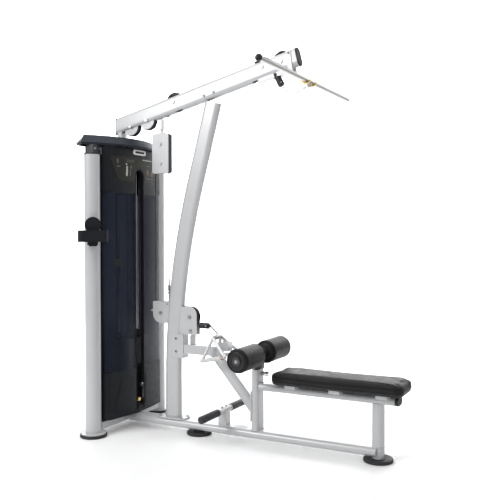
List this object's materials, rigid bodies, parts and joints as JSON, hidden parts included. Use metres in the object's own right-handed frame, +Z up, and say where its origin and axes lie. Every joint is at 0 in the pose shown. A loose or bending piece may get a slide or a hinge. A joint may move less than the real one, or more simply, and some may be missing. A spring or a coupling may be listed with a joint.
{
  "type": "lat pulldown machine",
  "caption": "Lat pulldown machine with a shrouded selector stack, a sloping boom on a bent mast, a wide bar, a low row handle, thigh rollers and a long bench seat.",
  "frame": {"origin": "centre of the machine's outline on the floor", "axes": "+X from the weight tower towards the bench seat, +Y across the machine to the user's right hand when seated, +Z up"},
  "size_m": [1.875, 1.2359, 2.1871],
  "materials": {
    "frame_paint": "satin silver-white powder coat",
    "dark_paint": "satin black",
    "shroud": "satin charcoal",
    "window": "smoked clear sheet",
    "cap": "satin blue-gray",
    "vinyl": "black upholstery vinyl",
    "foam": "matte black foam skin",
    "rubber": "matte",
    "chrome": "polished",
    "steel": "zinc plated",
    "gold": "yellow zinc plated",
    "pulley": "satin black nylon",
    "cable": "black coated steel rope",
    "iron": "black enamel"
  },
  "bodies": {
    "frame": {"near_upright": "frame_paint", "far_upright": "frame_paint", "tower_crossbars": "frame_paint", "base_beam": "frame_paint", "rear_post": "frame_paint", "front_post": "frame_paint", "seat_rail": "frame_paint", "mast": "frame_paint", "foot_plates": "frame_paint", "foot_pads": "rubber", "boom": "frame_paint", "boom_side_plates": "frame_paint", "pulley_axles": "steel", "bumpers": "rubber", "low_pulley_brackets": "frame_paint", "lat_cable": "cable", "row_cable": "cable", "upper_cable_runs": "cable", "lower_cable_runs": "cable", "stack_cable": "cable", "cable_adjuster": "steel", "guide_rods": "chrome", "bottom_plate": "iron", "lower_cover": "shroud", "window": "window", "upper_cover": "shroud", "rear_cover": "shroud", "top_cap": "cap", "accessory_holder": "shroud", "row_arm": "frame_paint", "seat_pad": "vinyl", "foot_bar": "frame_paint", "foot_bar_sleeves": "rubber", "lat_bar_hooks": "gold", "tube_end_caps": "rubber", "frame_bolts": "steel"},
    "tower_rear_wheel": {"tower_pulley_rear": "pulley"},
    "tower_front_wheel": {"tower_pulley_front": "pulley"},
    "boom_wheel": {"boom_pulley": "pulley"},
    "nose_rear_wheel": {"nose_pulley_rear": "pulley"},
    "nose_front_wheel": {"nose_pulley_front": "pulley"},
    "low_rear_wheel": {"low_pulley_rear": "pulley"},
    "low_front_wheel": {"low_pulley_front": "pulley"},
    "guide_wheel": {"guide_roller": "pulley"},
    "block": {"floating_block": "frame_paint", "block_cable_turns": "cable"},
    "block_upper_wheel": {"block_pulley_upper": "pulley"},
    "block_lower_wheel": {"block_pulley_lower": "pulley"},
    "stack": {"weight_plates": "iron", "stack_head": "iron"},
    "selector": {"selector_pin": "gold"},
    "lat_end": {"lat_cable_end": "rubber"},
    "bar": {"lat_bar": "steel", "lat_chain": "steel"},
    "row_end": {"row_cable_end": "rubber", "row_handle": "frame_paint"},
    "roller_carriage": {"roller_post": "dark_paint"},
    "near_thigh_roller": {"near_roller": "foam"},
    "far_thigh_roller": {"far_roller": "foam"},
    "height_pin": {"pop_pin": "chrome"}
  },
  "joints": [
    {"name": "stack_lift", "type": "slide", "parent": "frame", "child": "stack", "axis": [0, 0, 1], "range_m": [0, 0.95], "deforming": ["stack_cable"]},
    {"name": "selector_pin_pull", "type": "slide", "parent": "stack", "child": "selector", "axis": [1, 0, 0], "range_m": [0, 0.11]},
    {"name": "tower_rear_spin", "type": "hinge", "parent": "frame", "child": "tower_rear_wheel", "pos_m": [-0.7795, 0, 1.83], "axis": [0, 1, 0], "continuous": true},
    {"name": "tower_front_spin", "type": "hinge", "parent": "frame", "child": "tower_front_wheel", "pos_m": [-0.6615, 0, 1.86], "axis": [0, 1, 0], "continuous": true},
    {"name": "boom_spin", "type": "hinge", "parent": "frame", "child": "boom_wheel", "pos_m": [-0.4695, 0, 1.954], "axis": [0, 1, 0], "continuous": true},
    {"name": "nose_rear_spin", "type": "hinge", "parent": "frame", "child": "nose_rear_wheel", "pos_m": [0.1145, 0, 2.099], "axis": [0, 1, 0], "continuous": true},
    {"name": "nose_front_spin", "type": "hinge", "parent": "frame", "child": "nose_front_wheel", "pos_m": [0.2295, 0, 2.116], "axis": [0, 1, 0], "continuous": true},
    {"name": "lat_pull", "type": "slide", "parent": "frame", "child": "lat_end", "axis": [0, 0, -1], "range_m": [0, 0.95]},
    {"name": "bar_lift", "type": "slide", "parent": "lat_end", "child": "bar", "axis": [0.7071, 0, 0.7071], "range_m": [0, 0.05]},
    {"name": "row_pull", "type": "slide", "parent": "frame", "child": "row_end", "axis": [0.809, 0, 0.5878], "range_m": [0, 0.55], "stiffness_N_per_m": 20, "springref_m": -2},
    {"name": "block_drop", "type": "slide", "parent": "frame", "child": "block", "axis": [0, 0, -1], "range_m": [0, 0.275], "deforming": ["upper_cable_runs", "lower_cable_runs"]},
    {"name": "block_upper_spin", "type": "hinge", "parent": "block", "child": "block_upper_wheel", "pos_m": [-0.5655, 0, 1.714], "axis": [0, 1, 0], "continuous": true},
    {"name": "block_lower_spin", "type": "hinge", "parent": "block", "child": "block_lower_wheel", "pos_m": [-0.5655, 0, 1.598], "axis": [0, 1, 0], "continuous": true},
    {"name": "low_rear_spin", "type": "hinge", "parent": "frame", "child": "low_rear_wheel", "pos_m": [-0.5655, 0, 0.704], "axis": [0, 1, 0], "continuous": true},
    {"name": "low_front_spin", "type": "hinge", "parent": "frame", "child": "low_front_wheel", "pos_m": [-0.3615, 0, 0.689], "axis": [0, 1, 0], "continuous": true},
    {"name": "guide_spin", "type": "hinge", "parent": "frame", "child": "guide_wheel", "pos_m": [-0.3555, 0, 0.608], "axis": [0, 1, 0], "continuous": true},
    {"name": "roller_height", "type": "slide", "parent": "frame", "child": "roller_carriage", "axis": [0, 0, 1], "range_m": [0, 0.1]},
    {"name": "near_roller_spin", "type": "hinge", "parent": "roller_carriage", "child": "near_thigh_roller", "pos_m": [0.0945, 0, 0.507], "axis": [0, 1, 0], "continuous": true},
    {"name": "far_roller_spin", "type": "hinge", "parent": "roller_carriage", "child": "far_thigh_roller", "pos_m": [0.0945, 0, 0.507], "axis": [0, 1, 0], "continuous": true},
    {"name": "height_pin_pull", "type": "slide", "parent": "frame", "child": "height_pin", "axis": [1, 0, 0], "range_m": [0, 0.012], "stiffness_N_per_m": 600, "springref_m": -0.01}
  ],
  "couplings": [
    {"joint": "tower_rear_spin", "follows": "stack_lift", "rad_per_m": 20.833},
    {"joint": "tower_front_spin", "follows": "stack_lift", "rad_per_m": 20.833},
    {"joint": "block_upper_spin", "follows": "stack_lift", "rad_per_m": -20.833},
    {"joint": "boom_spin", "follows": "stack_lift", "rad_per_m": 20.833},
    {"joint": "nose_rear_spin", "follows": "stack_lift", "rad_per_m": 20.833},
    {"joint": "lat_pull", "follows": "stack_lift", "ratio": 1},
    {"joint": "block_drop", "follows": "row_pull", "ratio": 0.5},
    {"joint": "block_lower_spin", "follows": "row_pull", "rad_per_m": -10.417},
    {"joint": "low_rear_spin", "follows": "row_pull", "rad_per_m": -20.833},
    {"joint": "low_front_spin", "follows": "row_pull", "rad_per_m": -20.833}
  ]
}
